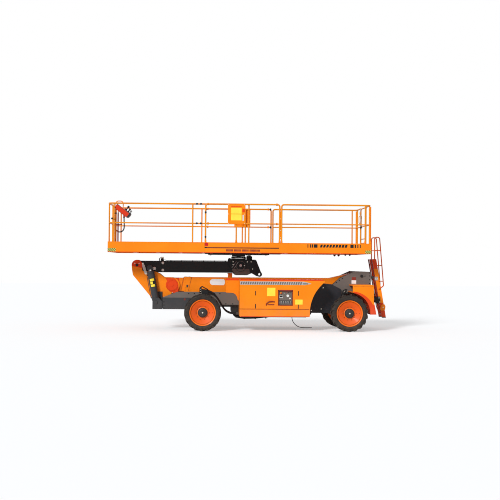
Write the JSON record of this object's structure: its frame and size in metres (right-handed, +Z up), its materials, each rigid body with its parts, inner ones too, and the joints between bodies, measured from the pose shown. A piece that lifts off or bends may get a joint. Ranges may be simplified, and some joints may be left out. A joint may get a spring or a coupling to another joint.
{
  "type": "telescopic boom lift",
  "caption": "Rough-terrain telescopic boom lift: folded riser and upper boom on a wheeled chassis carry a long railed work platform that slews and extends.",
  "frame": {"origin": "on the ground below the middle of the machine, at the bottom centre of its bounding box", "axes": "+X to the ladder end, -Y to the side with the ground controls, +Z up"},
  "size_m": [7.33, 2.45, 3.336],
  "materials": {
    "orange": "gloss paint",
    "red_orange": "gloss paint",
    "grey": "satin paint",
    "black": "satin paint",
    "tyre": "moulded rubber",
    "plastic": "matt",
    "rubber": "matt",
    "steel": "polished rod",
    "iron": "painted casting"
  },
  "bodies": {
    "chassis": {"chassis_frame": "grey", "steer_axle": "iron", "drive_axle": "iron", "belly_pan": "black", "side_trays": "orange", "engine_and_tank": "iron", "ground_controls": "grey", "inner_fenders": "black", "end_covers": "orange", "ladder": "orange", "handrails": "orange", "ground_strap": "rubber", "steer_hoses": "rubber"},
    "hood_near": {"hood_near": "orange"},
    "hood_far": {"hood_far": "orange"},
    "knuckle_near": {"knuckle_near": "iron"},
    "knuckle_far": {"knuckle_far": "iron"},
    "wheel_steer_near": {"tyre_steer_near": "tyre", "rim_steer_near": "orange"},
    "wheel_steer_far": {"tyre_steer_far": "tyre", "rim_steer_far": "orange"},
    "wheel_drive_near": {"tyre_drive_near": "tyre", "rim_drive_near": "orange"},
    "wheel_drive_far": {"tyre_drive_far": "tyre", "rim_drive_far": "orange"},
    "riser": {"riser_tube": "orange"},
    "riser_fly": {"riser_inner": "red_orange"},
    "gooseneck": {"gooseneck": "orange", "cylinder_feet": "grey"},
    "riser_barrel": {"riser_barrel": "grey"},
    "riser_rod": {"riser_rod": "steel"},
    "boom_barrels": {"boom_barrels": "grey"},
    "boom_rods": {"boom_rods": "steel"},
    "boom": {"boom": "black"},
    "head": {"boom_head": "black", "head_cheeks": "black"},
    "platform": {"subframe": "black", "main_deck": "orange", "rails_near": "orange", "rails_far": "orange", "signs": "orange"},
    "slide_deck": {"slide_deck": "orange", "slide_rails": "orange", "console": "red_orange", "console_stand": "orange", "console_cable": "rubber"},
    "gate": {"gate": "orange"}
  },
  "joints": [
    {"name": "riser_lift", "type": "hinge", "parent": "chassis", "child": "riser", "pos_m": [2.97, 0, 1.438], "axis": [0, 1, 0], "range_deg": [0, 62]},
    {"name": "riser_extend", "type": "slide", "parent": "riser", "child": "riser_fly", "axis": [-1, 0, 0], "range_m": [0, 2.9]},
    {"name": "gooseneck_level", "type": "hinge", "parent": "riser_fly", "child": "gooseneck", "pos_m": [-2.046, 0, 1.16], "axis": [0, 1, 0], "range_deg": [-62, 0]},
    {"name": "boom_lift", "type": "hinge", "parent": "gooseneck", "child": "boom", "pos_m": [-2.979, 0, 1.682], "axis": [0, -1, 0], "range_deg": [0, 70]},
    {"name": "platform_level", "type": "hinge", "parent": "boom", "child": "head", "pos_m": [-0.23, 0, 1.69], "axis": [0, -1, 0], "range_deg": [-70, 0]},
    {"name": "platform_slew", "type": "hinge", "parent": "head", "child": "platform", "pos_m": [-0.281, 0, 1.925], "axis": [0, 0, 1], "range_deg": [-90, 90]},
    {"name": "deck_slide", "type": "slide", "parent": "platform", "child": "slide_deck", "axis": [-1, 0, 0], "range_m": [0, 1.1]},
    {"name": "gate_swing", "type": "hinge", "parent": "platform", "child": "gate", "pos_m": [3.077, -0.45, 2.7], "axis": [0, 0, 1], "range_deg": [0, 95]},
    {"name": "hood_near_lift", "type": "hinge", "parent": "chassis", "child": "hood_near", "pos_m": [0.6, -0.482, 1.333], "axis": [1, 0, 0], "range_deg": [-60, 0]},
    {"name": "hood_far_lift", "type": "hinge", "parent": "chassis", "child": "hood_far", "pos_m": [0.6, 0.482, 1.333], "axis": [1, 0, 0], "range_deg": [0, 60]},
    {"name": "steer_near", "type": "hinge", "parent": "chassis", "child": "knuckle_near", "pos_m": [-1.23, -0.77, 0.475], "axis": [0, 0, 1], "range_deg": [-28, 28]},
    {"name": "steer_far", "type": "hinge", "parent": "chassis", "child": "knuckle_far", "pos_m": [-1.23, 0.77, 0.475], "axis": [0, 0, 1], "range_deg": [-28, 28]},
    {"name": "spin_steer_near", "type": "hinge", "parent": "knuckle_near", "child": "wheel_steer_near", "pos_m": [-1.23, -1.0475, 0.475], "axis": [0, 1, 0], "continuous": true},
    {"name": "spin_steer_far", "type": "hinge", "parent": "knuckle_far", "child": "wheel_steer_far", "pos_m": [-1.23, 1.0475, 0.475], "axis": [0, 1, 0], "continuous": true},
    {"name": "spin_drive_near", "type": "hinge", "parent": "chassis", "child": "wheel_drive_near", "pos_m": [2.56, -1.0475, 0.475], "axis": [0, 1, 0], "continuous": true},
    {"name": "spin_drive_far", "type": "hinge", "parent": "chassis", "child": "wheel_drive_far", "pos_m": [2.56, 1.0475, 0.475], "axis": [0, 1, 0], "continuous": true},
    {"name": "riser_cylinder_swing", "type": "hinge", "parent": "chassis", "child": "riser_barrel", "pos_m": [2.23, 0, 0.6], "axis": [0, -1, 0], "range_deg": [-62.04, 0]},
    {"name": "riser_cylinder_stroke", "type": "slide", "parent": "riser_barrel", "child": "riser_rod", "axis": [-0.9837, 0, 0.18], "range_m": [0, 1.1521]},
    {"name": "boom_cylinder_swing", "type": "hinge", "parent": "gooseneck", "child": "boom_barrels", "pos_m": [-2.458, 0, 0.71], "axis": [0, -1, 0], "range_deg": [0, 3.77]},
    {"name": "boom_cylinder_stroke", "type": "slide", "parent": "boom_barrels", "child": "boom_rods", "axis": [-0.1881, 0, 0.9821], "range_m": [0, 0.4034]}
  ],
  "couplings": [
    {"joint": "gooseneck_level", "follows": "riser_lift", "ratio": -1},
    {"joint": "platform_level", "follows": "boom_lift", "ratio": -1},
    {"joint": "steer_far", "follows": "steer_near", "ratio": 1},
    {"joint": "riser_cylinder_swing", "follows": "riser_lift", "ratio": -1.0005},
    {"joint": "riser_cylinder_stroke", "follows": "riser_lift", "m_per_rad": 1.0642},
    {"joint": "boom_cylinder_swing", "follows": "boom_lift", "ratio": 0.053719},
    {"joint": "boom_cylinder_stroke", "follows": "boom_lift", "m_per_rad": 0.32976}
  ]
}
